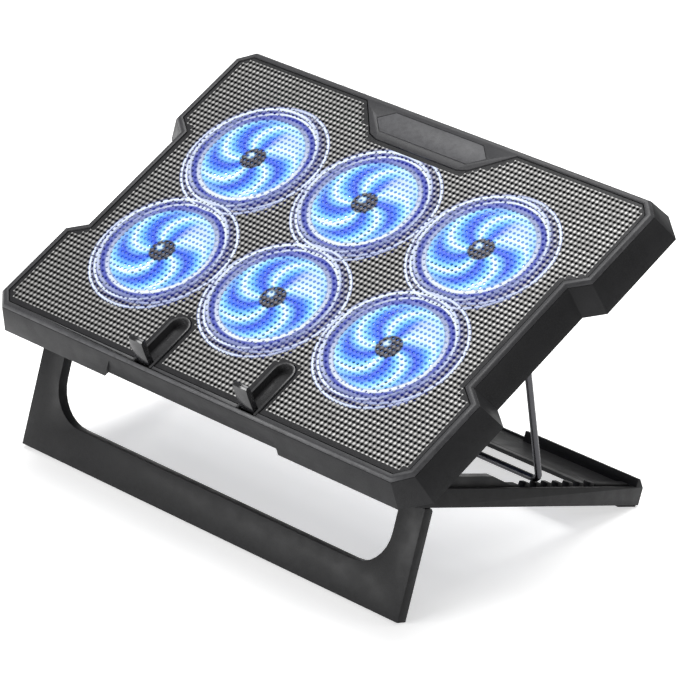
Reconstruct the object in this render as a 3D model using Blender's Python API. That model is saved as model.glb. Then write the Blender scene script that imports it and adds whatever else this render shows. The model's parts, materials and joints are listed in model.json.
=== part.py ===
"""A folding laptop cooling pad with six fans, two flip-up stops and a rack-and-bail stand.

Units are metres and +Z is up. The part stands on z = 0, centred on x = y = 0. It faces -Y.

Three frames are used, each with x to the right and y to the rear:
- tray frame: origin on the pad hinge, z square to the top of the rails;
- pad frame: y = 0 at the front edge of the housing's top, z = 0 at the pad's underside;
- leg frame: origin on the leg hinge, z up along the leg.
"""

import math

import bmesh
import bpy
from mathutils import Matrix, Vector

# Pad housing
TOP_HALF_WIDTH = 0.1950
TOP_DEPTH = 0.2763
HOUSING_HEIGHT = 0.0197
FLARE_SIDE = 0.0097
FLARE_FRONT = 0.0046
FLARE_REAR = 0.0076
WALL = 0.0025
FLOOR = 0.0022
LEDGE = 0.0080
LEDGE_DEPTH = 0.0025
RECESS_FACE = -0.0009
RECESS_TOP = 0.0172
RECESS_BOTTOM_X = (-0.0860, 0.0790)
RECESS_TOP_X = (-0.0772, 0.0762)
GAP = 0.0003
PIN_CLEARANCE = 0.0001

# Top frame and mesh panel
FRAME_HEIGHT = 0.0022
RIM_WIDTH = 0.0054
MESH_THICKNESS = 0.0012
MESH_EDGE_GAP = 0.0008
BADGE_CENTRE = (0.0, 0.2593)
BADGE_HALF_LENGTH = 0.0508
BADGE_HALF_FLAT = 0.0405
BADGE_HALF_HEIGHT = 0.0096

# Stops and their pockets
STOP_X = {"left": -0.0470, "right": 0.0514}
POCKET_FRONT = 0.0030
POCKET_REAR = 0.0500
POCKET_WIDTH = 0.0178
POCKET_WALL = 0.0018
POCKET_BASE = 0.0146
POCKET_FLOOR = 0.0162
POCKET_TOP = 0.0226
STOP_WIDTH = 0.0126
STOP_AXIS = (0.0068, 0.0190)
STOP_PIN_RADIUS = 0.0010

# Fans
FAN_COLUMNS = (-0.1150, -0.0080, 0.0990)
FAN_ROWS = (0.0955, 0.1935)
FAN_OUTER_RADIUS = 0.0440
FAN_BORE_RADIUS = 0.0412
FAN_BASE = 0.0025
FAN_TOP = 0.0173
ROTOR_RADIUS = 0.0395
HUB_RADIUS = 0.0120
HUB_BOTTOM = 0.0056
HUB_TOP = 0.0168
BLADE_COUNT = 5
BLADE_HALF_CHORD = 27.0
BLADE_SWEEP = -42.0
BLADE_MIDDLE = 0.0108
BLADE_HALF_THICKNESS = 0.0006
SHAFT_RADIUS = 0.0010

# Controls at the rear wall
BOARD_X = (-0.1690, -0.0720)
USB_COLUMNS = (-0.1510, -0.1300)
USB_WIDTH = 0.0131
USB_HEIGHT = 0.0064
USB_BOTTOM = 0.0059
DIAL_CENTRE = (-0.1070, 0.2746)
DIAL_RADIUS = 0.0080
DIAL_HEIGHT = (0.0084, 0.0116)
BUTTON_X = -0.0860
BUTTON_Z = 0.0095
BUTTON_RADIUS = 0.0028

# Pad hinge, in the pad frame, and the angle between the pad and the tray
HINGE_Y = 0.0280
HINGE_Z = -0.0123
HINGE_PIN_RADIUS = 0.0018
LUG_X = (0.1588, 0.1670)
OPENING_ANGLE = math.radians(45.45)

# Support bail
BAIL_AXIS = (0.1396, -0.0028)
BAIL_HALF_WIDTH = 0.1770
BAIL_WIRE_RADIUS = 0.0025
BAIL_FOOT = (0.1210, 0.0015)
BAIL_END = 0.1650

# Base tray, in the tray frame
RAIL_OUTER = 0.18015
RAIL_INNER = 0.1673
RACK_OUTER = 0.1733
CHANNEL_OUTER = 0.17765
RAIL_TOP = -0.0028
RAIL_BOTTOM = -0.0158
RAIL_FRONT = -0.0070
RAIL_REAR = 0.2367
TOOTH_TOP = -0.0017
TOOTH_PITCH = 0.0120
TOOTH_COUNT = 7
SHELF_FRONT = 0.1830
SHELF_TOP = -0.0043
SHELF_THICKNESS = 0.0025
LIP_INNER = 0.0770
LIP_OUTER = 0.18015
LIP_TOP = 0.0032

# Front leg
LEG_HINGE = (0.00915, -0.0196)
LEG_TILT = math.radians(2.05)
LEG_FRONT_FACE = -0.00525
LEG_REAR_FACE = 0.00325
LEG_TOP = 0.0032
LEG_BOTTOM = -0.0754
LEG_BAR_TOP = -0.0486
LEG_HALF_WIDTH = 0.18015
LEG_ARM_INNER = 0.1588
LEG_CORNER_RADIUS = 0.0285
LEG_LUG_X = (0.1664, 0.1742)
LEG_PIN_RADIUS = 0.0013

# Rubber feet
TRAY_FOOT_X = (0.1665, 0.1795)
TRAY_FOOT_Y = (0.2150, 0.2350)
TRAY_FOOT_Z = (-0.0173, -0.0161)
LEG_FOOT_X = (0.0600, 0.1500)
LEG_FOOT_Y = (-0.0035, 0.0020)
LEG_FOOT_Z = (-0.0759, -0.0739)

# Screws that hold the housing together, from below
SCREW_POINTS = ((-0.1760, 0.0300), (0.1760, 0.0300), (-0.1760, 0.2500), (0.1760, 0.2500))
SCREW_HEAD_RADIUS = 0.0028
SCREW_SHANK_RADIUS = 0.0012

ARC_STEPS = 28


# ---------------------------------------------------------------- outlines

def pad_outline(half_width, front, rear, corner, notch_y, notch_depth=0.0135, slant=0.0102):
    """The pad seen from above, counter-clockwise: cut corners and a notch in each side."""
    corner_x, corner_y = corner
    notch_front, notch_rear = notch_y
    notch_x = half_width - notch_depth
    right = [
        (half_width - corner_x, front),
        (half_width, front + corner_y),
        (half_width, notch_front),
        (notch_x, notch_front + slant),
        (notch_x, notch_rear - slant),
        (half_width, notch_rear),
        (half_width, rear - corner_y),
        (half_width - corner_x, rear),
    ]
    left = [(-x, y) for x, y in reversed(right)]
    return right + left


def inset(outline, distance):
    """The outline moved inwards by the distance, with mitred corners."""
    moved = []
    count = len(outline)
    for index in range(count):
        before = Vector(outline[index - 1])
        here = Vector(outline[index])
        after = Vector(outline[(index + 1) % count])
        into = (here - before).normalized()
        away = (after - here).normalized()
        normal_into = Vector((-into.y, into.x))
        normal_away = Vector((-away.y, away.x))
        mitre = (normal_into + normal_away) / (1.0 + normal_into.dot(normal_away))
        moved.append(tuple(here + mitre * distance))
    return moved


def circle(radius, steps=ARC_STEPS, centre=(0.0, 0.0)):
    return [
        (
            centre[0] + radius * math.cos(2.0 * math.pi * step / steps),
            centre[1] + radius * math.sin(2.0 * math.pi * step / steps),
        )
        for step in range(steps)
    ]


def arc(centre, radius, start, end, steps):
    """Points on an arc, with the angles in degrees."""
    points = []
    for step in range(steps + 1):
        angle = math.radians(start + (end - start) * step / steps)
        x = centre[0] + radius * math.cos(angle)
        y = centre[1] + radius * math.sin(angle)
        points.append((x, y))
    return points


def rectangle(x_range, y_range):
    (left, right), (front, rear) = x_range, y_range
    return [(left, front), (right, front), (right, rear), (left, rear)]


def pocket_outline(width, front, rear, steps=10):
    """A slot with a square front and a round rear end."""
    radius = width / 2.0
    end = arc((0.0, rear - radius), radius, 0.0, 180.0, steps)
    return [(-radius, front), (radius, front)] + end


def sector(inner, outer, start, end, steps=7):
    """A piece of a ring between two radii and two angles in degrees."""
    out = arc((0.0, 0.0), outer, start, end, steps)
    back = arc((0.0, 0.0), inner, end, start, max(2, steps // 2))
    return out + back


UNDERSIDE = pad_outline(
    TOP_HALF_WIDTH + FLARE_SIDE,
    -FLARE_FRONT,
    TOP_DEPTH + FLARE_REAR,
    corner=(0.0183, 0.0153),
    notch_y=(0.0828, 0.1935),
)
TOP = pad_outline(
    TOP_HALF_WIDTH, 0.0, TOP_DEPTH, corner=(0.0115, 0.0113), notch_y=(0.0786, 0.1977)
)


def mesh_opening():
    """The top frame's opening. A plate for the badge reaches into it from the rear."""
    edge = inset(TOP, RIM_WIDTH)
    rear = edge[7][1]
    plate = [
        (0.0700, rear),
        (0.0453, rear - 0.0257),
        (0.0375, rear - 0.0282),
        (-0.0375, rear - 0.0282),
        (-0.0453, rear - 0.0257),
        (-0.0700, rear),
    ]
    return edge[:8] + plate + edge[8:]


# ---------------------------------------------------------------- solids

class Shape:
    """Points and faces of one or more closed shells."""

    def __init__(self):
        self.points = []
        self.faces = []

    def add(self, points, faces):
        start = len(self.points)
        self.points.extend(tuple(point) for point in points)
        self.faces.extend(tuple(start + index for index in face) for face in faces)
        return self

    def moved(self, offset):
        self.points = [tuple(Vector(point) + Vector(offset)) for point in self.points]
        return self

    def placed(self, matrix):
        self.points = [tuple(matrix @ Vector(point)) for point in self.points]
        return self


def ring_faces(count, rings):
    """Side and end faces of a stack of equal rings."""
    faces = []
    for ring in range(rings - 1):
        for index in range(count):
            after = (index + 1) % count
            low, high = ring * count, (ring + 1) * count
            faces.append((low + index, low + after, high + after, high + index))
    last = (rings - 1) * count
    faces.append(tuple(reversed(range(count))))
    faces.append(tuple(range(last, last + count)))
    return faces


def loft(levels):
    """A solid through outlines of equal length: levels is a list of (outline, z)."""
    points = [(x, y, z) for outline, z in levels for x, y in outline]
    return Shape().add(points, ring_faces(len(levels[0][0]), len(levels)))


def prism(outline, bottom, top):
    return loft([(outline, bottom), (outline, top)])


def box(x_range, y_range, z_range):
    return prism(rectangle(x_range, y_range), *z_range)


def prism_x(profile, x_range):
    """A solid with a profile in y and z, counter-clockwise from +X, between two values of x."""
    low, high = sorted(x_range)
    points = [(x, y, z) for x in (low, high) for y, z in profile]
    return Shape().add(points, ring_faces(len(profile), 2))


def prism_y(profile, y_range):
    """A solid with a profile in x and z, between two values of y."""
    points = [(x, y, z) for y in y_range for x, z in profile]
    return Shape().add(points, ring_faces(len(profile), 2))


def both_sides(make, x_range):
    """Two copies of a solid, one on each side of x = 0."""
    low, high = x_range
    shape = make((low, high))
    other = make((-high, -low))
    return shape.add(other.points, other.faces)


def combined(shapes):
    whole = Shape()
    for shape in shapes:
        whole.add(shape.points, shape.faces)
    return whole


def tube(path, radius, steps=12):
    """A round wire along a path of (x, z) points in the plane y = 0."""
    points = []
    for index, here in enumerate(path):
        before = Vector(path[max(0, index - 1)])
        after = Vector(path[min(len(path) - 1, index + 1)])
        into = (Vector(here) - before).normalized()
        away = (after - Vector(here)).normalized()
        along = (into + away).normalized()
        side = Vector((-along.y, along.x))
        stretch = 1.0 / max(0.5, along.dot(away if index == 0 else into))
        for step in range(steps):
            angle = 2.0 * math.pi * step / steps
            across = radius * stretch * math.cos(angle)
            points.append(
                (
                    here[0] + side.x * across,
                    radius * math.sin(angle),
                    here[1] + side.y * across,
                )
            )
    return Shape().add(points, ring_faces(steps, len(path)))


# ---------------------------------------------------------------- objects

def clear_scene():
    for old in list(bpy.data.objects):
        bpy.data.objects.remove(old, do_unlink=True)


def material(name, colour, roughness, metallic=0.0):
    made = bpy.data.materials.new(name)
    made.use_nodes = True
    shader = made.node_tree.nodes["Principled BSDF"]
    shader.inputs["Base Color"].default_value = (*colour, 1.0)
    shader.inputs["Roughness"].default_value = roughness
    shader.inputs["Metallic"].default_value = metallic
    made.diffuse_color = (*colour, 1.0)
    return made


def frame_empty(name, parent, location, angle=0.0):
    """An empty that carries a group of pieces, turned about x by the angle."""
    empty = bpy.data.objects.new(name, None)
    empty.empty_display_size = 0.02
    bpy.context.scene.collection.objects.link(empty)
    empty.parent = parent
    empty.location = location
    empty.rotation_euler = (angle, 0.0, 0.0)
    return empty


def mesh_object(name, shape, parent, location):
    mesh = bpy.data.meshes.new(name)
    mesh.from_pydata(shape.points, [], shape.faces)
    shell = bmesh.new()
    shell.from_mesh(mesh)
    bmesh.ops.recalc_face_normals(shell, faces=shell.faces)
    shell.to_mesh(mesh)
    shell.free()
    made = bpy.data.objects.new(name, mesh)
    bpy.context.scene.collection.objects.link(made)
    made.parent = parent
    made.location = location
    return made


def piece(name, shape, look, parent, location=(0.0, 0.0, 0.0), smooth=False):
    """One node of the part. A look is (colour, roughness, metallic)."""
    made = mesh_object(name, shape, parent, location)
    made.data.materials.append(material(name, *look))
    if smooth:
        for face in made.data.polygons:
            face.use_smooth = len(face.vertices) == 4
    return made


def combine(target, shape, operation):
    helper = mesh_object(f"{target.name}_{operation.lower()}", shape, target, (0, 0, 0))
    helper.hide_render = True
    helper.display_type = "WIRE"
    modifier = target.modifiers.new(helper.name, "BOOLEAN")
    modifier.operation = operation
    modifier.solver = "EXACT"
    modifier.object = helper


def cut(target, shape):
    combine(target, shape, "DIFFERENCE")


def fuse(target, shape):
    combine(target, shape, "UNION")


BLACK_PLASTIC = ((0.030, 0.030, 0.032), 0.45)
DARK_PLASTIC = ((0.020, 0.020, 0.022), 0.50)
STEEL = ((0.45, 0.45, 0.47), 0.30, 1.0)


# ---------------------------------------------------------------- pad housing

def hinge_lug_profile():
    """A lug that hangs from the underside and ends round about the pad hinge."""
    around = arc((HINGE_Y, HINGE_Z), 0.0060, 180.0, 360.0, 8)
    return around + [(HINGE_Y + 0.0090, 0.0010), (HINGE_Y - 0.0090, 0.0010)]


def housing_cavity():
    """The hollow of the housing. Its front wall is thicker, because of the recess outside."""
    ledge_bottom = HOUSING_HEIGHT - LEDGE_DEPTH
    front = RECESS_FACE + WALL
    floor = [(x, max(y, front)) for x, y in inset(UNDERSIDE, WALL)]
    return loft(
        [
            (floor, FLOOR),
            (inset(TOP, WALL), ledge_bottom),
            (inset(TOP, LEDGE), ledge_bottom),
            (inset(TOP, LEDGE), HOUSING_HEIGHT + 0.001),
        ]
    )


def air_intakes():
    """Four openings in the floor under each fan, between the spokes of a guard."""
    shapes = []
    for x in FAN_COLUMNS:
        for y in FAN_ROWS:
            for quarter in range(4):
                start = 45.0 + 90.0 * quarter + 6.0
                outline = sector(0.0150, 0.0385, start, start + 78.0)
                shapes.append(prism(outline, -0.001, FLOOR + 0.0002).moved((x, y, 0.0)))
    return combined(shapes)


def control_openings():
    """Openings in the rear wall for the sockets, the dial and the button."""
    wall = (0.2700, 0.2900)
    shapes = []
    for x in USB_COLUMNS:
        half = USB_WIDTH / 2.0 + GAP
        shapes.append(box((x - half, x + half), wall, (USB_BOTTOM - GAP, USB_BOTTOM + USB_HEIGHT + GAP)))
    dial_x = DIAL_CENTRE[0]
    shapes.append(box((dial_x - 0.0084, dial_x + 0.0084), wall, (0.0080, 0.0120)))
    shapes.append(prism_y(circle(BUTTON_RADIUS + PIN_CLEARANCE, 16, (BUTTON_X, BUTTON_Z)), wall))
    return combined(shapes)


def front_recess():
    low_left, low_right = RECESS_BOTTOM_X
    high_left, high_right = RECESS_TOP_X
    profile = [
        (low_left, -0.0010),
        (low_right, -0.0010),
        (high_right, RECESS_TOP),
        (high_left, RECESS_TOP),
    ]
    return prism_y(profile, (-0.0200, RECESS_FACE))


def lower_housing(pad):
    housing = piece(
        "lower_housing",
        loft([(UNDERSIDE, 0.0), (TOP, HOUSING_HEIGHT)]),
        BLACK_PLASTIC,
        pad,
    )
    cut(housing, housing_cavity())
    bosses = [prism(circle(0.0050, 16, point), 0.0010, 0.0090) for point in SCREW_POINTS]
    fuse(housing, combined(bosses))
    fuse(housing, both_sides(lambda x: prism_x(hinge_lug_profile(), x), LUG_X))
    cut(housing, front_recess())
    cut(housing, air_intakes())
    cut(housing, control_openings())
    pin_hole = circle(HINGE_PIN_RADIUS + PIN_CLEARANCE, 16, (HINGE_Y, HINGE_Z))
    cut(housing, prism_x(pin_hole, (-0.1800, 0.1800)))
    half = POCKET_WIDTH / 2.0 + GAP
    pockets = [
        box((x - half, x + half), (POCKET_FRONT - GAP, 0.0120), (POCKET_BASE - GAP, 0.0220))
        for x in STOP_X.values()
    ]
    cut(housing, combined(pockets))
    wells = [prism(circle(0.0032, 16, point), -0.0010, 0.0020) for point in SCREW_POINTS]
    cut(housing, combined(wells))
    holes = [prism(circle(0.0015, 12, point), 0.0015, 0.0100) for point in SCREW_POINTS]
    cut(housing, combined(holes))


def housing_screws(pad):
    for number, (x, y) in enumerate(SCREW_POINTS, start=1):
        head = circle(SCREW_HEAD_RADIUS, 16)
        shank = circle(SCREW_SHANK_RADIUS, 16)
        shape = loft([(head, 0.0002), (head, 0.0017), (shank, 0.0017), (shank, 0.0085)])
        piece(f"housing_screw_{number}", shape, STEEL, pad, (x, y, 0.0), smooth=True)


# ---------------------------------------------------------------- top of the pad

def badge_outline(margin=0.0):
    x, y = BADGE_CENTRE
    flat, end, half = BADGE_HALF_FLAT, BADGE_HALF_LENGTH, BADGE_HALF_HEIGHT
    hexagon = [
        (x - flat, y - half),
        (x + flat, y - half),
        (x + end, y),
        (x + flat, y + half),
        (x - flat, y + half),
        (x - end, y),
    ]
    return inset(hexagon, margin)


def top_frame(pad):
    bottom = HOUSING_HEIGHT + GAP
    top = bottom + FRAME_HEIGHT
    levels = [(TOP, bottom), (inset(TOP, FRAME_HEIGHT), top)]
    frame = piece("top_frame", loft(levels), ((0.075, 0.075, 0.078), 0.40), pad)
    cut(frame, prism(mesh_opening(), bottom - 0.001, top + 0.001))
    cut(frame, prism(badge_outline(-GAP), top - 0.0012, top + 0.001))
    half = POCKET_WIDTH / 2.0 + GAP
    notches = [
        box((x - half, x + half), (POCKET_FRONT - GAP, 0.0100), (bottom - 0.001, top + 0.001))
        for x in STOP_X.values()
    ]
    cut(frame, combined(notches))
    badge = prism(badge_outline(), top - 0.0009, top - 0.0002)
    piece("badge_plate", badge, ((0.080, 0.080, 0.083), 0.35), pad)


def mesh_panel(pad):
    bottom = HOUSING_HEIGHT + 2.0 * GAP
    top = bottom + MESH_THICKNESS
    outline = inset(mesh_opening(), MESH_EDGE_GAP)
    panel = piece("mesh_panel", prism(outline, bottom, top), ((0.20, 0.20, 0.21), 0.35, 0.9), pad)
    slots = []
    for x in STOP_X.values():
        width = POCKET_WIDTH + 2.0 * MESH_EDGE_GAP
        slot = pocket_outline(width, -0.001, POCKET_REAR + MESH_EDGE_GAP)
        slots.append(prism(slot, bottom - 0.001, top + 0.001).moved((x, 0.0, 0.0)))
    cut(panel, combined(slots))


def stop_profile():
    """The stop from the side, about its axis: a tongue that leans back a little at its tip."""
    base = arc((0.0, 0.0), 0.0022, 180.0, 360.0, 6)
    rear = [(0.0023, 0.0120), (0.0028, 0.0226), (0.0022, 0.0238)]
    front = [(0.0004, 0.0240), (-0.0010, 0.0228), (-0.0020, 0.0160), (-0.0023, 0.0060)]
    return base + rear + front


def stop_assembly(pad, word, x):
    axis_y, axis_z = STOP_AXIS
    outer = pocket_outline(POCKET_WIDTH, POCKET_FRONT, POCKET_REAR)
    pocket = piece(
        f"stop_pocket_{word}", prism(outer, POCKET_BASE, POCKET_TOP), BLACK_PLASTIC, pad, (x, 0, 0)
    )
    inner_width = POCKET_WIDTH - 2.0 * POCKET_WALL
    inner = pocket_outline(inner_width, -0.001, POCKET_REAR - POCKET_WALL)
    cut(pocket, prism(inner, POCKET_FLOOR, POCKET_TOP + 0.001))
    hole = circle(STOP_PIN_RADIUS + PIN_CLEARANCE, 12)
    cut(pocket, prism_x([(axis_y + y, axis_z + z) for y, z in hole], (-0.012, 0.012)))

    location = (x, axis_y, axis_z)
    half = STOP_WIDTH / 2.0
    stop = piece(
        f"stop_{word}", prism_x(stop_profile(), (-half, half)), DARK_PLASTIC, pad, location
    )
    cut(stop, prism_x(hole, (-0.012, 0.012)))
    pin = prism_x(circle(STOP_PIN_RADIUS, 12), (-0.0084, 0.0084))
    piece(f"stop_pin_{word}", pin, STEEL, pad, location, smooth=True)


# ---------------------------------------------------------------- fans

def fan_frame(pad, number, place):
    outer = circle(FAN_OUTER_RADIUS)
    frame = piece(
        f"fan_frame_{number}",
        prism(outer, FAN_BASE, FAN_TOP),
        ((0.30, 0.42, 0.60), 0.30),
        pad,
        place,
        smooth=True,
    )
    cut(frame, prism(circle(FAN_BORE_RADIUS), FAN_BASE + 0.0020, FAN_TOP + 0.001))
    windows = []
    for third in range(3):
        start = 120.0 * third + 8.0
        outline = sector(0.0140, 0.0395, start, start + 104.0, 8)
        windows.append(prism(outline, FAN_BASE - 0.001, FAN_BASE + 0.0030))
    cut(frame, combined(windows))


def fan_stator(pad, number, place):
    """Four coils on a core, around the shaft."""
    outline = []
    for coil in range(4):
        middle = 90.0 * coil
        outline += arc((0.0, 0.0), 0.0100, middle - 28.0, middle + 28.0, 4)
        outline += arc((0.0, 0.0), 0.0050, middle + 45.0, middle + 45.0, 1)[:1]
    shape = prism(outline, 0.0048, 0.0125)
    stator = piece(f"fan_stator_{number}", shape, ((0.45, 0.22, 0.10), 0.4, 0.8), pad, place)
    cut(stator, prism(circle(SHAFT_RADIUS + PIN_CLEARANCE, 12), 0.004, 0.014))


def blade(number):
    """One sickle blade: it sweeps back, and it tilts from the rear edge down to the front edge."""
    stations = 5
    chord_steps = 3
    points = []
    for station in range(stations):
        share = station / (stations - 1)
        radius = HUB_RADIUS - 0.0005 + (ROTOR_RADIUS - HUB_RADIUS + 0.0005) * share
        middle = 360.0 / BLADE_COUNT * number + BLADE_SWEEP * share ** 1.3
        half = BLADE_HALF_CHORD + 2.0 * share
        rise = 0.0038 - 0.0008 * share
        low, high = [], []
        for step in range(chord_steps + 1):
            across = -1.0 + 2.0 * step / chord_steps
            angle = math.radians(middle + half * across)
            height = BLADE_MIDDLE + rise * across
            x, y = radius * math.cos(angle), radius * math.sin(angle)
            low.append((x, y, height - BLADE_HALF_THICKNESS))
            high.append((x, y, height + BLADE_HALF_THICKNESS))
        points += low + list(reversed(high))
    return Shape().add(points, ring_faces(2 * (chord_steps + 1), stations))


def fan_rotor(pad, number, place):
    x, y, _ = place
    hub = loft(
        [
            (circle(HUB_RADIUS, 24), HUB_BOTTOM),
            (circle(HUB_RADIUS, 24), HUB_TOP - 0.0015),
            (circle(HUB_RADIUS - 0.0018, 24), HUB_TOP),
        ]
    )
    rotor = piece(f"fan_rotor_{number}", hub, ((0.55, 0.70, 0.90), 0.25), pad, (x, y, 0.0), smooth=True)
    fuse(rotor, combined([blade(index) for index in range(BLADE_COUNT)]))
    cut(rotor, prism(circle(0.0108, 24), HUB_BOTTOM - 0.001, 0.0135))
    cut(rotor, prism(circle(SHAFT_RADIUS + PIN_CLEARANCE, 12), 0.0125, 0.0156))
    shaft = prism(circle(SHAFT_RADIUS, 12), 0.0050, 0.0153)
    piece(f"fan_shaft_{number}", shaft, STEEL, pad, (x, y, 0.0), smooth=True)


def fans(pad):
    number = 0
    for y in FAN_ROWS:
        for x in FAN_COLUMNS:
            number += 1
            place = (x, y, 0.0)
            fan_frame(pad, number, place)
            fan_stator(pad, number, place)
            fan_rotor(pad, number, place)


# ---------------------------------------------------------------- controls

def control_board(pad):
    board = piece(
        "control_board", box(BOARD_X, (0.2540, 0.2700), (0.0040, 0.0056)), ((0.02, 0.12, 0.05), 0.5), pad
    )
    chips = [
        box((-0.1200, -0.1120), (0.2560, 0.2620), (0.0050, 0.0072)),
        box((-0.0990, -0.0950), (0.2560, 0.2600), (0.0050, 0.0066)),
        box((BUTTON_X - 0.0030, BUTTON_X + 0.0030), (0.2655, 0.2698), (0.0050, 0.0120)),
    ]
    fuse(board, combined(chips))


def usb_socket(pad, number, x):
    half = USB_WIDTH / 2.0
    bottom = USB_BOTTOM
    top = bottom + USB_HEIGHT
    socket = piece(
        f"usb_socket_{number}", box((-half, half), (0.2640, 0.2788), (bottom, top)), STEEL, pad, (x, 0, 0)
    )
    mouth = box((-half + 0.0005, half - 0.0005), (0.2660, 0.2800), (bottom + 0.0006, top - 0.0006))
    cut(socket, mouth)
    fuse(socket, box((-0.0052, 0.0052), (0.2650, 0.2775), (top - 0.0034, top - 0.0016)))


def speed_dial(pad):
    ridges = 24
    outline = []
    for ridge in range(2 * ridges):
        radius = DIAL_RADIUS - (0.0004 if ridge % 2 else 0.0)
        angle = math.pi * ridge / ridges
        outline.append((radius * math.cos(angle), radius * math.sin(angle)))
    stem = circle(0.0015, 2 * ridges)
    bottom, top = DIAL_HEIGHT
    shape = loft([(stem, 0.0059), (stem, bottom), (outline, bottom), (outline, top)])
    piece("speed_dial", shape, DARK_PLASTIC, pad, (*DIAL_CENTRE, 0.0))


def light_button(pad):
    """A round cap with a flange inside the wall. It slides along y."""
    levels = [(0.0038, 0.2728), (0.0038, 0.2752), (BUTTON_RADIUS, 0.2752), (BUTTON_RADIUS, 0.2820)]
    points = [(x, y - 0.2820, z) for radius, y in levels for x, z in circle(radius, 16)]
    shape = Shape().add(points, ring_faces(16, len(levels)))
    place = (BUTTON_X, 0.2820, BUTTON_Z)
    piece("light_button", shape, DARK_PLASTIC, pad, place, smooth=True)


# ---------------------------------------------------------------- bail

def bail_angle():
    """The bail's direction at rest in the pad frame, and its length."""
    turn = Matrix.Rotation(-OPENING_ANGLE, 2)
    foot = turn @ Vector(BAIL_FOOT) + Vector((HINGE_Y, HINGE_Z))
    arm = foot - Vector(BAIL_AXIS)
    return math.atan2(arm.y, arm.x), arm.length


def rounded(path, radius, steps=5):
    """The path with its inner corners rounded."""
    points = [path[0]]
    for before, here, after in zip(path, path[1:], path[2:]):
        start = Vector(here) + (Vector(before) - Vector(here)).normalized() * radius
        end = Vector(here) + (Vector(after) - Vector(here)).normalized() * radius
        centre = start + end - Vector(here)
        for step in range(steps + 1):
            share = step / steps
            toward = start.lerp(end, share) - centre
            points.append(tuple(centre + toward.normalized() * radius))
    points.append(path[-1])
    return points


def support_bail(pad):
    angle, length = bail_angle()
    wide = BAIL_HALF_WIDTH
    corners = [(-BAIL_END, 0.0), (-wide, 0.0), (-wide, -length), (wide, -length), (wide, 0.0), (BAIL_END, 0.0)]
    wire = tube(rounded(corners, 0.0060), BAIL_WIRE_RADIUS)
    wire.placed(Matrix.Rotation(angle + math.pi / 2.0, 4, "X"))
    look = ((0.06, 0.06, 0.065), 0.30, 1.0)
    piece("support_bail", wire, look, pad, (0.0, *BAIL_AXIS), smooth=True)

    y, z = BAIL_AXIS
    bore = arc((y, z), BAIL_WIRE_RADIUS + GAP, 60.0, -240.0, 12)
    block = [
        (y - 0.0050, -GAP),
        (y - 0.0060, -0.0040),
        (y - 0.0040, -0.0066),
        (y + 0.0040, -0.0066),
        (y + 0.0060, -0.0040),
        (y + 0.0050, -GAP),
    ]
    for word, x_range in (("left", (-0.1720, -0.1670)), ("right", (0.1670, 0.1720))):
        piece(f"bail_clip_{word}", prism_x(block + bore, x_range), BLACK_PLASTIC, pad)


# ---------------------------------------------------------------- base tray

def cheek_profile():
    """The raised part of a rack near the hinge. Its front end is round about the hinge."""
    boss = arc((0.0, 0.0), 0.0060, 180.0, 60.0, 5)
    outline = [(-0.0060, -0.0040)] + boss + [(0.0065, 0.0033), (0.0754, 0.0033), (0.0970, -0.0028), (0.0970, -0.0040)]
    return list(reversed(outline))


def rack_profile():
    """The rack from the side: a row of teeth above the rail, with the bail's notches between them."""
    first = BAIL_FOOT[0] - TOOTH_PITCH / 2.0
    low = -0.0063
    points = []
    for tooth in range(TOOTH_COUNT):
        middle = first + tooth * TOOTH_PITCH
        points += [
            (middle - 0.0030, low),
            (middle - 0.0022, TOOTH_TOP),
            (middle + 0.0022, TOOTH_TOP),
            (middle + 0.0030, low),
        ]
    return points, first


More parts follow.
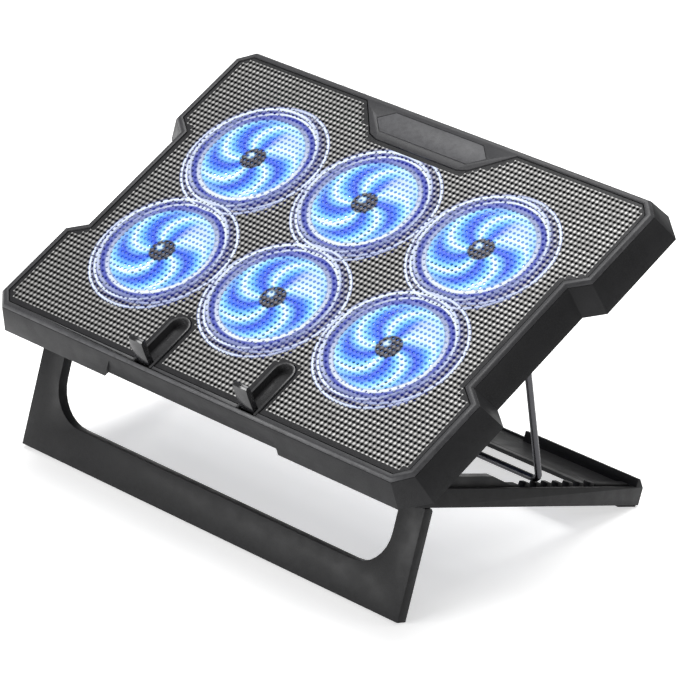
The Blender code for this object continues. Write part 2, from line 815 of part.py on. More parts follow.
def base_tray(tray):
    rails = both_sides(
        lambda x: box(x, (RAIL_FRONT, RAIL_REAR), (RAIL_BOTTOM, RAIL_TOP)), (RAIL_INNER, RAIL_OUTER)
    )
    body = piece("base_tray", rails, BLACK_PLASTIC, tray)
    teeth, first = rack_profile()
    start = first - 0.0090
    end = teeth[-1][0] + 0.0010
    trench = [(start, RAIL_TOP + 0.01), (start, -0.0063), (end, -0.0063), (end, RAIL_TOP + 0.01)]
    cut(body, both_sides(lambda x: prism_x(trench, x), (RAIL_INNER - 0.001, RACK_OUTER)))
    channel = ((0.0080, 0.2280), (RAIL_BOTTOM + 0.0025, 0.0))
    cut(body, both_sides(lambda x: box(x, *channel), (RACK_OUTER, CHANNEL_OUTER)))
    fuse(body, both_sides(lambda x: prism_x(cheek_profile(), x), (RAIL_INNER, RACK_OUTER)))
    row = [(teeth[0][0] - 0.002, -0.0080)] + [(teeth[-1][0] + 0.002, -0.0080)]
    bars = [(teeth[0][0] - 0.002, -0.0062)] + teeth + [(teeth[-1][0] + 0.002, -0.0062)]
    comb = row + list(reversed(bars))
    fuse(body, both_sides(lambda x: prism_x(comb, x), (RAIL_INNER, RACK_OUTER - 0.0002)))

    inner = RAIL_INNER + 0.001
    shelf_bottom = SHELF_TOP - SHELF_THICKNESS
    fuse(body, box((-inner, inner), (SHELF_FRONT, RAIL_REAR - 0.001), (shelf_bottom, SHELF_TOP)))
    fuse(body, box((-inner, inner), (RAIL_REAR - 0.0025, RAIL_REAR), (RAIL_BOTTOM, RAIL_TOP)))
    fuse(body, box((-inner, inner), (-0.0040, 0.0060), (RAIL_BOTTOM, -0.0085)))
    lip = [
        (RAIL_REAR - 0.0081, SHELF_TOP - 0.001),
        (RAIL_REAR - 0.0004, SHELF_TOP - 0.001),
        (RAIL_REAR - 0.0004, RAIL_TOP),
        (RAIL_REAR - 0.0057, LIP_TOP),
        (RAIL_REAR - 0.0081, LIP_TOP),
    ]
    fuse(body, both_sides(lambda x: prism_x(lip, x), (LIP_INNER, LIP_OUTER)))

    y, z = LEG_HINGE
    lug = arc((y, z), 0.0032, 180.0, 360.0, 8) + [(y + 0.0032, RAIL_BOTTOM + 0.001), (y - 0.0032, RAIL_BOTTOM + 0.001)]
    fuse(body, both_sides(lambda x: prism_x(lug, x), LEG_LUG_X))
    cut(body, prism_x(circle(HINGE_PIN_RADIUS + PIN_CLEARANCE, 16), (-0.1740, 0.1740)))
    cut(body, prism_x(circle(LEG_PIN_RADIUS + PIN_CLEARANCE, 12, LEG_HINGE), (-0.1760, 0.1760)))


def tray_fittings(tray):
    for word, side in (("left", -1.0), ("right", 1.0)):
        pin = prism_x(circle(HINGE_PIN_RADIUS, 16), (side * 0.1590, side * 0.1730))
        piece(f"pad_hinge_pin_{word}", pin, STEEL, tray, smooth=True)
        pin = prism_x(circle(LEG_PIN_RADIUS, 12, LEG_HINGE), (side * 0.1592, side * 0.1776))
        piece(f"leg_hinge_pin_{word}", pin, STEEL, tray, smooth=True)
        low, high = sorted((side * TRAY_FOOT_X[0], side * TRAY_FOOT_X[1]))
        foot = box((low, high), TRAY_FOOT_Y, TRAY_FOOT_Z)
        piece(f"tray_foot_{word}", foot, ((0.012, 0.012, 0.012), 0.9), tray)


# ---------------------------------------------------------------- front leg

def leg_outline():
    """The leg from the front: two arms and a bottom bar, with round inner corners."""
    wide, inner, radius = LEG_HALF_WIDTH, LEG_ARM_INNER, LEG_CORNER_RADIUS
    right = [(wide, LEG_BOTTOM), (wide, LEG_TOP), (inner, LEG_TOP)]
    right += arc((inner - radius, LEG_BAR_TOP + radius), radius, 0.0, -90.0, 8)
    left = [(-x, z) for x, z in reversed(right)]
    return right + left


def front_leg(leg):
    plate = prism_y(leg_outline(), (LEG_FRONT_FACE, LEG_REAR_FACE))
    body = piece("front_leg", plate, BLACK_PLASTIC, leg)
    corner = [(0.0013, 0.0033), (0.0034, 0.0012), (0.0045, 0.0045)]
    cut(body, prism_x(corner, (-0.2, 0.2)))
    slot = (LEG_LUG_X[0] - 0.0004, LEG_LUG_X[1] + 0.0004)
    cut(body, both_sides(lambda x: box(x, (-0.0036, 0.0050), (-0.0036, 0.0050)), slot))
    hole = circle(LEG_PIN_RADIUS + PIN_CLEARANCE, 12)
    cut(body, both_sides(lambda x: prism_x(hole, x), (0.1500, 0.1780)))
    groove = (
        (LEG_FOOT_Y[0] - GAP, LEG_FOOT_Y[1] + GAP),
        (LEG_BOTTOM - 0.001, LEG_FOOT_Z[1] + GAP),
    )
    cut(body, both_sides(lambda x: box(x, *groove), (LEG_FOOT_X[0] - GAP, LEG_FOOT_X[1] + GAP)))
    for word, side in (("left", -1.0), ("right", 1.0)):
        x_range = sorted((side * LEG_FOOT_X[0], side * LEG_FOOT_X[1]))
        piece(f"leg_foot_{word}", box(x_range, LEG_FOOT_Y, LEG_FOOT_Z), ((0.012, 0.012, 0.012), 0.9), leg)


# ---------------------------------------------------------------- assembly

def leg_contact():
    """The leg foot's lowest edge in the tray frame."""
    turn = Matrix.Rotation(LEG_TILT, 2)
    return turn @ Vector((LEG_FOOT_Y[1], LEG_FOOT_Z[0])) + Vector(LEG_HINGE)


def tray_slope():
    """The tray's slope when the leg feet and the tray feet both touch the ground."""
    front = leg_contact()
    rear = Vector((TRAY_FOOT_Y[1], TRAY_FOOT_Z[0]))
    return math.atan2(rear.y - front.y, rear.x - front.x)


def world_bounds():
    """Lowest and highest corners of everything that renders."""
    graph = bpy.context.evaluated_depsgraph_get()
    low = Vector((1e9, 1e9, 1e9))
    high = Vector((-1e9, -1e9, -1e9))
    for made in bpy.data.objects:
        if made.type != "MESH" or made.hide_render:
            continue
        shape = made.evaluated_get(graph)
        for vertex in shape.data.vertices:
            point = shape.matrix_world @ vertex.co
            low = Vector(map(min, low, point))
            high = Vector(map(max, high, point))
    return low, high


def main():
    clear_scene()
    slope = tray_slope()
    tray = frame_empty("tray_frame", None, (0.0, 0.0, 0.0), -slope)
    leg = frame_empty("leg_frame", tray, (0.0, *LEG_HINGE), LEG_TILT)
    hinge = frame_empty("pad_hinge", tray, (0.0, 0.0, 0.0), OPENING_ANGLE)
    pad = frame_empty("pad_frame", hinge, (0.0, -HINGE_Y, -HINGE_Z))

    lower_housing(pad)
    housing_screws(pad)
    top_frame(pad)
    mesh_panel(pad)
    for word, x in STOP_X.items():
        stop_assembly(pad, word, x)
    fans(pad)
    control_board(pad)
    for number, x in enumerate(USB_COLUMNS, start=1):
        usb_socket(pad, number, x)
    speed_dial(pad)
    light_button(pad)
    support_bail(pad)
    base_tray(tray)
    tray_fittings(tray)
    front_leg(leg)

    bpy.context.view_layer.update()
    low, high = world_bounds()
    tray.location = (-(low.x + high.x) / 2.0, -(low.y + high.y) / 2.0, -low.z)
    bpy.context.view_layer.update()


main()
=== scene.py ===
"""Looks of a folding laptop cooling pad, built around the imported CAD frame.

Units are metres. New pieces on the pad are made in the pad frame: x to the right, y to the rear from
the front edge of the housing's top, and z square to the pad from its underside.
"""

import json
import math

import bmesh
import bpy
from mathutils import Matrix, Vector


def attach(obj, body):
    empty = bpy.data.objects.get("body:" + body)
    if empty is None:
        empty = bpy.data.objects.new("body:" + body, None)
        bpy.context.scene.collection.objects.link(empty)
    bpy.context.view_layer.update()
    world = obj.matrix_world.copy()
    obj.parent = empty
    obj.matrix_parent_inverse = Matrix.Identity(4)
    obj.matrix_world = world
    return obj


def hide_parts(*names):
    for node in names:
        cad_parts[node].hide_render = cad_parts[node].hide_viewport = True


# Places on the pad that the glow and the new pieces share
FAN_COLUMNS = (-0.1150, -0.0080, 0.0990)
FAN_ROWS = (0.0955, 0.1935)
STOP_LEFT_AXIS = Vector((-0.0470, 0.0068, 0.0190))

# Mesh sheet
HOLE_PITCH = (0.003614, 0.004146)
HOLE_RADIUS = 0.00128
HOLE_SIDES = 8
SHEET_MARGIN = 0.0004

# Rotors
BLADES = 5
BLADE_ROOT = 0.0115
BLADE_TIP = 0.0394
BLADE_SWEEP = -42.0
BLADE_HALF_CHORD = math.radians(34.5)
BLADE_MIDDLE = 0.0106
BLADE_RISE = 0.0040
BLADE_HALF_THICKNESS = 0.0006
BLADE_STATIONS = 12
BLADE_CHORD_STEPS = 10
HUB_PROFILE = (
    (0.0, 0.0137),
    (0.0108, 0.0137),
    (0.0108, 0.0056),
    (0.0120, 0.0056),
    (0.0120, 0.0152),
    (0.0116, 0.0160),
    (0.0108, 0.0165),
    (0.0096, 0.0167),
    (0.0092, 0.0164),
    (0.0088, 0.0167),
    (0.0, 0.0168),
)

# Light of the fans on the mesh, where the eye sees it through the sheet
GLOW_SHIFT = (0.0047, -0.0035)
HUB_GLOW_RADIUS = 0.0098
BLADE_GLOW_RADIUS = 0.0385
HALO_RADIUS = 0.0550
FIRST_EDGE = math.radians(60.0)
SWIRL = math.radians(62.0)
# Painted highlight on each hub cap: its centre from the fan's middle, and its radius
HUB_HIGHLIGHT_OFFSET = (-0.0035, 0.0018)
HUB_HIGHLIGHT_RADIUS = 0.0042
# Each trail: offset x, offset y, radius, half width, brightest direction in degrees, sharpness
TRAILS = (
    (-0.0015, 0.0020, 0.0468, 0.0016, 130.0, 0.35),
    (0.0010, -0.0020, 0.0520, 0.0011, 230.0, 0.6),
    (0.0045, 0.0020, 0.0500, 0.0012, 30.0, 0.6),
    (0.0000, 0.0000, 0.0398, 0.0020, 300.0, 0.4),
    (0.0020, 0.0010, 0.0440, 0.0012, 70.0, 0.8),
    (-0.0030, -0.0040, 0.0440, 0.0012, 240.0, 1.2),
)

# Camera
CAMERA_PLACE = (1.77647, -1.88064, 1.32878)
CAMERA_TURN = (64.713, -1.237, 43.714)
CAMERA_LENS = 221.48


# ---------------------------------------------------------------- node helpers

class Net:
    """A node tree under construction. Values may be sockets or plain numbers."""

    def __init__(self, tree):
        self.tree = tree

    def node(self, kind, inputs=None, **settings):
        made = self.tree.nodes.new(kind)
        for name, value in settings.items():
            setattr(made, name, value)
        for key, value in (inputs or {}).items():
            self.feed(made.inputs[key], value)
        return made

    def feed(self, socket, value):
        if isinstance(value, bpy.types.NodeSocket):
            self.tree.links.new(value, socket)
        else:
            socket.default_value = value

    def math(self, operation, first, second=0.0, third=0.0):
        made = self.node("ShaderNodeMath", {0: first, 1: second, 2: third}, operation=operation)
        return made.outputs[0]

    def span(self, value, low, high, to_low=0.0, to_high=1.0, smooth=True):
        """The value mapped from low..high to to_low..to_high, and kept inside."""
        made = self.node(
            "ShaderNodeMapRange",
            {0: value, 1: low, 2: high, 3: to_low, 4: to_high},
            interpolation_type="SMOOTHSTEP" if smooth else "LINEAR",
        )
        return made.outputs[0]

    def mix(self, share, first, second, blend="MIX"):
        made = self.node("ShaderNodeMix", data_type="RGBA", blend_type=blend)
        self.feed(made.inputs[0], share)
        self.feed(made.inputs[6], first)
        self.feed(made.inputs[7], second)
        return made.outputs[2]

    def ramp(self, value, stops):
        made = self.node("ShaderNodeValToRGB", {0: value})
        elements = made.color_ramp.elements
        while len(elements) < len(stops):
            elements.new(0.5)
        for element, (place, colour) in zip(elements, stops):
            element.position = place
            element.color = (*colour, 1.0)
        return made.outputs[0]

    def place(self):
        return self.node("ShaderNodeTexCoord").outputs["Object"]

    def noise(self, size, detail=2.0, stretch=None):
        """Noise whose features are about that size, in metres. Stretch scales each axis."""
        vector = self.place()
        if stretch:
            vector = self.node("ShaderNodeVectorMath", {0: vector, 1: stretch}, operation="MULTIPLY").outputs[0]
        made = self.node("ShaderNodeTexNoise", {"Vector": vector, "Scale": 1.0 / size, "Detail": detail})
        return made.outputs["Fac"]


def new_material(name):
    made = bpy.data.materials.new(name)
    made.use_nodes = True
    return made, Net(made.node_tree), made.node_tree.nodes["Principled BSDF"]


def shade(colour, factor):
    return (*(channel * factor for channel in colour), 1.0)


# ---------------------------------------------------------------- materials

def moulded(name, colour, roughness, grain=0.00045, depth=0.00004, wear=0.35, shine=0.13):
    """Moulded plastic: a fine spark-eroded grain, faint flow marks, and edges rubbed lighter."""
    made, net, shader = new_material(name)
    flow = net.noise(0.030, 3.0)
    speckle = net.noise(grain * 1.6, 2.0)
    body = net.mix(net.span(flow, 0.35, 0.65), shade(colour, 0.86), shade(colour, 1.12))
    body = net.mix(net.span(speckle, 0.40, 0.62), body, shade(colour, 1.25))
    edge = net.node("ShaderNodeNewGeometry").outputs["Pointiness"]
    rubbed = net.math("MULTIPLY", net.span(edge, 0.52, 0.62), wear)
    patchy = net.math("MULTIPLY", rubbed, net.span(net.noise(0.004, 3.0), 0.30, 0.60))
    body = net.mix(patchy, body, shade(colour, 3.0))
    net.feed(shader.inputs["Base Color"], body)
    rough = net.span(net.noise(0.012, 3.0), 0.3, 0.7, roughness - 0.05, roughness + 0.06)
    net.feed(shader.inputs["Roughness"], rough)
    shader.inputs["Specular IOR Level"].default_value = shine
    bump = net.node(
        "ShaderNodeBump", {"Height": net.noise(grain, 1.0), "Strength": 0.5, "Distance": depth}
    )
    net.feed(shader.inputs["Normal"], bump.outputs[0])
    return made


def metal(name, colour, roughness, stretch=(1.0, 1.0, 1.0), scratch=0.0006):
    """Drawn or stamped metal with fine marks along one direction."""
    made, net, shader = new_material(name)
    marks = net.noise(scratch, 4.0, stretch)
    body = net.mix(net.span(marks, 0.3, 0.7), shade(colour, 0.75), shade(colour, 1.15))
    net.feed(shader.inputs["Base Color"], body)
    shader.inputs["Metallic"].default_value = 1.0
    net.feed(shader.inputs["Roughness"], net.span(marks, 0.25, 0.75, roughness - 0.06, roughness + 0.10))
    bump = net.node("ShaderNodeBump", {"Height": marks, "Strength": 0.35, "Distance": 0.00003})
    net.feed(shader.inputs["Normal"], bump.outputs[0])
    return made


def rubber():
    """Matt rubber with a moulded rib pattern and dust in it."""
    made, net, shader = new_material("rubber")
    dust = net.noise(0.0015, 5.0)
    body = net.mix(net.span(dust, 0.45, 0.7), (0.012, 0.012, 0.012, 1.0), (0.045, 0.044, 0.042, 1.0))
    net.feed(shader.inputs["Base Color"], body)
    net.feed(shader.inputs["Roughness"], net.span(dust, 0.3, 0.7, 0.75, 0.92))
    wave = net.node(
        "ShaderNodeTexWave", {"Vector": net.place(), "Scale": 280.0, "Distortion": 0.2}, bands_direction="X"
    )
    bump = net.node("ShaderNodeBump", {"Height": wave.outputs["Fac"], "Strength": 0.6, "Distance": 0.0001})
    net.feed(shader.inputs["Normal"], bump.outputs[0])
    return made


def circuit_board():
    """Green solder mask with copper tracks and pads."""
    made, net, shader = new_material("circuit_board")
    cells = net.node(
        "ShaderNodeTexBrick",
        {
            "Vector": net.place(),
            "Color1": (0.010, 0.090, 0.035, 1.0),
            "Color2": (0.014, 0.110, 0.045, 1.0),
            "Mortar": (0.030, 0.200, 0.080, 1.0),
            "Scale": 260.0,
            "Mortar Size": 0.03,
        },
    )
    pads = net.node("ShaderNodeTexVoronoi", {"Vector": net.place(), "Scale": 420.0}).outputs["Distance"]
    body = net.mix(net.span(pads, 0.16, 0.20), (0.55, 0.50, 0.38, 1.0), cells.outputs[0])
    net.feed(shader.inputs["Base Color"], body)
    net.feed(shader.inputs["Roughness"], net.span(pads, 0.1, 0.3, 0.25, 0.5))
    return made


def coil():
    """Copper windings: fine turns of enamelled wire."""
    made, net, shader = new_material("coil")
    turns = net.node(
        "ShaderNodeTexWave", {"Vector": net.place(), "Scale": 900.0, "Distortion": 0.4}, bands_direction="Z"
    ).outputs["Fac"]
    body = net.mix(turns, (0.16, 0.05, 0.02, 1.0), (0.62, 0.26, 0.10, 1.0))
    net.feed(shader.inputs["Base Color"], body)
    shader.inputs["Metallic"].default_value = 0.8
    net.feed(shader.inputs["Roughness"], net.span(turns, 0.0, 1.0, 0.45, 0.25))
    bump = net.node("ShaderNodeBump", {"Height": turns, "Strength": 0.8, "Distance": 0.0001})
    net.feed(shader.inputs["Normal"], bump.outputs[0])
    return made


# ---------------------------------------------------------------- light of the fans

def polar(net, x, y, centre):
    """Distance and direction of a point from a centre."""
    across = net.math("SUBTRACT", x, centre[0])
    along = net.math("SUBTRACT", y, centre[1])
    squares = net.math("ADD", net.math("MULTIPLY", across, across), net.math("MULTIPLY", along, along))
    return net.math("SQRT", squares), net.math("ARCTAN2", along, across)


def nearest(net, value, first, pitch, last_index):
    """The value measured from the nearest of a row of evenly spaced centres."""
    index = net.math("ROUND", net.math("DIVIDE", net.math("SUBTRACT", value, first), pitch))
    index = net.math("MINIMUM", net.math("MAXIMUM", index, 0.0), float(last_index))
    return net.math("SUBTRACT", value, net.math("MULTIPLY_ADD", index, pitch, first))


def trail_light(net, x, y, centre, trail):
    """One thin bright loop round a fan, strongest in one direction."""
    offset_x, offset_y, radius, half_width, brightest, sharpness = trail
    away, direction = polar(net, x, y, (centre[0] + offset_x, centre[1] + offset_y))
    off_line = net.math("ABSOLUTE", net.math("SUBTRACT", away, radius))
    line = net.span(off_line, half_width * 0.35, half_width * 1.3, 1.0, 0.0)
    facing = net.math("COSINE", net.math("SUBTRACT", direction, math.radians(brightest)))
    window = net.math("MULTIPLY_ADD", facing, 0.5, 0.5)
    return net.math("MULTIPLY", line, net.math("POWER", window, sharpness))


GLOW_OUTPUTS = (
    ("Color", "NodeSocketColor"),
    ("Strength", "NodeSocketFloat"),
    ("Hub", "NodeSocketFloat"),
    ("Trail", "NodeSocketFloat"),
)


def glow_group():
    """Colour and strength of the light at a place on the pad: lit blades, a halo, the trails, and a painted
    highlight on each hub cap.
    """
    group = bpy.data.node_groups.new("fan_glow", "ShaderNodeTree")
    group.interface.new_socket("Place", in_out="INPUT", socket_type="NodeSocketVector")
    for name, kind in GLOW_OUTPUTS:
        group.interface.new_socket(name, in_out="OUTPUT", socket_type=kind)
    net = Net(group)
    entry = net.node("NodeGroupInput")
    place = net.node("ShaderNodeSeparateXYZ", {0: entry.outputs[0]})
    x = net.math("SUBTRACT", place.outputs[0], GLOW_SHIFT[0])
    y = net.math("SUBTRACT", place.outputs[1], GLOW_SHIFT[1])
    column_pitch = FAN_COLUMNS[1] - FAN_COLUMNS[0]
    row_pitch = FAN_ROWS[1] - FAN_ROWS[0]
    local_x = nearest(net, x, FAN_COLUMNS[0], column_pitch, len(FAN_COLUMNS) - 1)
    local_y = nearest(net, y, FAN_ROWS[0], row_pitch, len(FAN_ROWS) - 1)
    away, direction = polar(net, local_x, local_y, (0.0, 0.0))

    outward = net.math("DIVIDE", away, BLADE_GLOW_RADIUS)
    swept = net.math("MULTIPLY", net.math("POWER", outward, 2.6), SWIRL)
    turned = net.math("SUBTRACT", net.math("ADD", direction, swept), FIRST_EDGE)
    blade = net.math("FRACT", net.math("MULTIPLY_ADD", turned, BLADES / (2.0 * math.pi), 10.0))
    blade_colour = net.ramp(
        blade,
        (
            (0.00, (0.95, 1.00, 1.00)),
            (0.07, (0.70, 0.97, 1.00)),
            (0.18, (0.22, 0.62, 1.00)),
            (0.38, (0.02, 0.06, 0.72)),
            (0.58, (0.03, 0.16, 0.90)),
            (0.76, (0.16, 0.56, 1.00)),
            (0.90, (0.45, 0.88, 1.00)),
            (1.00, (0.90, 1.00, 1.00)),
        ),
    )
    facing = net.math("COSINE", net.math("SUBTRACT", direction, math.radians(52.0)))
    wedge = net.math("MULTIPLY", net.span(facing, 0.80, 1.00), net.span(outward, 0.20, 0.60))
    blade_colour = net.mix(net.math("MULTIPLY", wedge, 0.75), blade_colour, (0.80, 0.98, 1.00, 1.0))
    rim = net.span(outward, 0.80, 0.98)
    blade_colour = net.mix(net.math("MULTIPLY", rim, 0.55), blade_colour, (0.35, 0.78, 1.00, 1.0))
    inside = net.span(away, BLADE_GLOW_RADIUS - 0.0012, BLADE_GLOW_RADIUS + 0.0012, 1.0, 0.0)
    outside_hub = net.span(away, HUB_GLOW_RADIUS - 0.0008, HUB_GLOW_RADIUS + 0.0008)
    blade_strength = net.math("MULTIPLY", inside, outside_hub)

    halo = net.span(away, BLADE_GLOW_RADIUS, HALO_RADIUS, 0.50, 0.0)
    halo = net.math("MULTIPLY", halo, outside_hub)
    colour = net.mix(inside, (0.10, 0.10, 0.90, 1.0), blade_colour)
    strength = net.math("MAXIMUM", blade_strength, halo)

    trails = 0.0
    for centre_x in FAN_COLUMNS:
        for centre_y in FAN_ROWS:
            for trail in TRAILS:
                trails = net.math("MAXIMUM", trails, trail_light(net, x, y, (centre_x, centre_y), trail))
    colour = net.mix(trails, colour, (0.86, 0.94, 1.00, 1.0))
    strength = net.math("MAXIMUM", strength, trails)
    # Painted highlight: a bright spot on each hub cap, up and to the left of its middle, where a domed cap would
    # reflect the light.
    hub_highlight_away, _ = polar(net, local_x, local_y, HUB_HIGHLIGHT_OFFSET)
    shine = net.span(hub_highlight_away, HUB_HIGHLIGHT_RADIUS * 0.4, HUB_HIGHLIGHT_RADIUS, 0.9, 0.0)
    colour = net.mix(shine, colour, (0.80, 1.00, 0.95, 1.0))
    strength = net.math("MAXIMUM", strength, shine)
    hub = net.span(away, HUB_GLOW_RADIUS - 0.0006, HUB_GLOW_RADIUS + 0.0006, 1.0, 0.0)
    net.node("NodeGroupOutput", {0: colour, 1: strength, 2: hub, 3: trails})
    return group


def add_glow(net, shader, group, place, power, tint):
    """The fans' light on a material. The colour is multiplied by the tint."""
    light = net.node("ShaderNodeGroup", node_tree=group)
    net.feed(light.inputs[0], place)
    net.feed(shader.inputs["Emission Color"], net.mix(1.0, light.outputs["Color"], tint, "MULTIPLY"))
    net.feed(shader.inputs["Emission Strength"], net.math("MULTIPLY", light.outputs["Strength"], power))
    return light


def mesh_web(group):
    """Perforated steel, painted dark, with a painted highlight where four holes meet, a painted light ramp from
    left to right, painted shade over the fans' hubs, and the fans' light on it.
    """
    made, net, shader = new_material("mesh_web")
    place = net.place()
    axes = net.node("ShaderNodeSeparateXYZ", {0: place})
    # Painted highlight: the web is coloured bright where four holes meet, where its gloss would catch the light;
    # the same pattern also gives the bump height below.
    waves = []
    for axis, pitch in enumerate(HOLE_PITCH):
        turns = net.math("MULTIPLY", axes.outputs[axis], 2.0 * math.pi / pitch)
        waves.append(net.math("MULTIPLY_ADD", net.math("COSINE", turns), -0.5, 0.5))
    crossing = net.math("MULTIPLY", waves[0], waves[1])
    body = net.mix(net.span(crossing, 0.1, 0.9), (0.055, 0.055, 0.054, 1.0), (0.48, 0.475, 0.465, 1.0))
    worn = net.noise(0.009, 4.0)
    body = net.mix(net.span(worn, 0.35, 0.70), body, net.mix(0.35, body, (0.12, 0.118, 0.114, 1.0)))
    # Painted light: the web's colour is multiplied darker on the left and lighter on the right, like a soft
    # light's sheen across the sheet.
    painted_light_ramp = net.span(axes.outputs[0], -0.20, 0.20, 0.80, 1.20, smooth=False)
    body = net.mix(1.0, body, net.node("ShaderNodeCombineXYZ", {0: painted_light_ramp, 1: painted_light_ramp, 2: painted_light_ramp}).outputs[0], "MULTIPLY")
    light = add_glow(net, shader, group, place, 1.05, (1.0, 1.0, 1.0, 1.0))
    # Painted light and shade: where the fans' light falls the web's colour is darkened to dark blue, and over each
    # hub it is painted a dark purple shade where no fan light falls.
    dimmed = net.math("MINIMUM", net.math("MULTIPLY", light.outputs["Strength"], 2.4), 0.92)
    body = net.mix(dimmed, body, (0.02, 0.04, 0.08, 1.0))
    body = net.mix(net.math("MULTIPLY", light.outputs["Hub"], 0.75), body, (0.020, 0.018, 0.035, 1.0))
    net.feed(shader.inputs["Base Color"], body)
    shader.inputs["Metallic"].default_value = 0.2
    shader.inputs["Specular IOR Level"].default_value = 0.35
    net.feed(shader.inputs["Roughness"], net.span(worn, 0.3, 0.7, 0.42, 0.56))
    height = net.math("ADD", crossing, net.math("MULTIPLY", net.noise(0.0004, 2.0), 0.3))
    bump = net.node("ShaderNodeBump", {"Height": height, "Strength": 0.7, "Distance": 0.0003})
    net.feed(shader.inputs["Normal"], bump.outputs[0])
    return made


def mesh_inner(group):
    """The walls of the holes: dark steel that catches the trails and some of the blades' light."""
    made, net, shader = new_material("mesh_inner")
    marks = net.noise(0.0008, 3.0)
    body = net.mix(marks, (0.020, 0.020, 0.021, 1.0), (0.060, 0.060, 0.062, 1.0))
    net.feed(shader.inputs["Base Color"], body)
    shader.inputs["Metallic"].default_value = 0.4
    net.feed(shader.inputs["Roughness"], net.span(marks, 0.3, 0.7, 0.45, 0.60))
    light = net.node("ShaderNodeGroup", node_tree=group)
    net.feed(light.inputs[0], net.place())
    dim = net.mix(1.0, light.outputs["Color"], (0.30, 0.50, 0.90, 1.0), "MULTIPLY")
    colour = net.mix(light.outputs["Trail"], dim, (0.86, 0.94, 1.00, 1.0))
    net.feed(shader.inputs["Emission Color"], colour)
    net.feed(shader.inputs["Emission Strength"], net.math("MULTIPLY", light.outputs["Strength"], 0.9))
    return made


def pad_place(net):
    """Where a point of a CAD node is in the pad frame."""
    back = PAD.inverted()
    vector = net.place()
    turn = back.to_euler("XYZ")
    mapped = net.node("ShaderNodeMapping", {0: vector, 1: back.translation, 2: turn})
    return mapped.outputs[0]


def lit_plastic(name, group, colour, roughness, power, tint, in_pad_frame=False):
    """Translucent fan plastic, lit from the fan's lamps."""
    made, net, shader = new_material(name)
    mottle = net.noise(0.006, 3.0)
    body = net.mix(net.span(mottle, 0.3, 0.7), shade(colour, 0.7), shade(colour, 1.2))
    net.feed(shader.inputs["Base Color"], body)
    net.feed(shader.inputs["Roughness"], net.span(mottle, 0.3, 0.7, roughness, roughness + 0.1))
    shader.inputs["Specular IOR Level"].default_value = 0.06
    place = net.place() if in_pad_frame else pad_place(net)
    shift = net.node("ShaderNodeVectorMath", {0: place, 1: (*GLOW_SHIFT, 0.0)}, operation="ADD")
    add_glow(net, shader, group, shift.outputs[0], power, tint)
    return made


# ---------------------------------------------------------------- shapes

def joint(name):
    return next(entry for entry in frame["joints"] if entry["name"] == name)


def pad_frame():
    """The pad frame's place and turn, from the fan's axis and the left stop's axis."""
    up = Vector(joint("fan_1_spin")["axis"]).normalized()
    turn = Matrix(((1.0, 0.0, 0.0), (0.0, up.z, up.y), (0.0, -up.y, up.z)))
    origin = Vector(joint("stop_left_fold")["pos_m"]) - turn @ STOP_LEFT_AXIS
    return Matrix.Translation(origin) @ turn.to_4x4()


def new_piece(name, shell, material, body, matrix=None):
    """A piece from a bmesh, placed in a frame and riding on a body."""
    mesh = bpy.data.meshes.new(name)
    shell.to_mesh(mesh)
    shell.free()
    made = bpy.data.objects.new(name, mesh)
    bpy.context.scene.collection.objects.link(made)
    if matrix is not None:
        made.matrix_world = matrix
    mesh.materials.append(material)
    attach(made, body)
    return made


def top_loops(node, matrix):
    """The outlines of a flat node's top face, in the frame of the matrix."""
    mesh = bmesh.new()
    mesh.from_mesh(node.data)
    mesh.transform(matrix.inverted())
    bmesh.ops.remove_doubles(mesh, verts=mesh.verts, dist=1e-6)
    top = max(vertex.co.z for vertex in mesh.verts)
    flat = {face for face in mesh.faces if min(v.co.z for v in face.verts) > top - 1e-5}
    following = {}
    for face in flat:
        for loop in face.loops:
            if not any(other in flat and other is not face for other in loop.edge.link_faces):
                following[loop.vert.index] = loop.link_loop_next.vert.index
    places = {vertex.index: vertex.co.xy.copy() for vertex in mesh.verts}
    mesh.free()
    loops = []
    while following:
        start, here = following.popitem()
        ring = [start, here]
        while ring[-1] != ring[0]:
            ring.append(following.pop(ring[-1]))
        loops.append([places[index] for index in ring[:-1]])
    return loops, top


def straight_parts(outline):
    """The outline without the points that lie on a straight line."""
    kept = []
    for index, here in enumerate(outline):
        into = (here - outline[index - 1]).normalized()
        away = (outline[(index + 1) % len(outline)] - here).normalized()
        if abs(into.cross(away)) > 1e-4:
            kept.append(here)
    return kept


def clear_inside(point, outline, margin):
    """Whether a point is inside the outline and at least the margin from every side."""
    inside = False
    for start, end in zip(outline, outline[1:] + outline[:1]):
        side = end - start
        share = max(0.0, min(1.0, (point - start).dot(side) / side.length_squared))
        if (start + side * share - point).length < margin:
            return False
        if (start.y > point.y) != (end.y > point.y):
            crossing = start.x + (point.y - start.y) * side.x / side.y
            inside ^= point.x < crossing
    return inside


def lattice_cells(outline):
    """Indices of the lattice cells whose hole fits whole inside the outline."""
    reach = math.hypot(*HOLE_PITCH) / 2.0
    low = [min(point[axis] for point in outline) for axis in (0, 1)]
    high = [max(point[axis] for point in outline) for axis in (0, 1)]
    cells = set()
    for column in range(round(low[0] / HOLE_PITCH[0]) - 1, round(high[0] / HOLE_PITCH[0]) + 2):
        for row in range(round(low[1] / HOLE_PITCH[1]) - 1, round(high[1] / HOLE_PITCH[1]) + 2):
            middle = Vector((column * HOLE_PITCH[0], row * HOLE_PITCH[1]))
            if clear_inside(middle, outline, reach + SHEET_MARGIN):
                cells.add((column, row))
    return cells


def hole_ring(column, row):
    points = []
    for side in range(HOLE_SIDES):
        angle = 2.0 * math.pi * (side + 0.5) / HOLE_SIDES
        x = column * HOLE_PITCH[0] + HOLE_RADIUS * math.cos(angle)
        y = row * HOLE_PITCH[1] + HOLE_RADIUS * math.sin(angle)
        points.append((x, y))
    return points


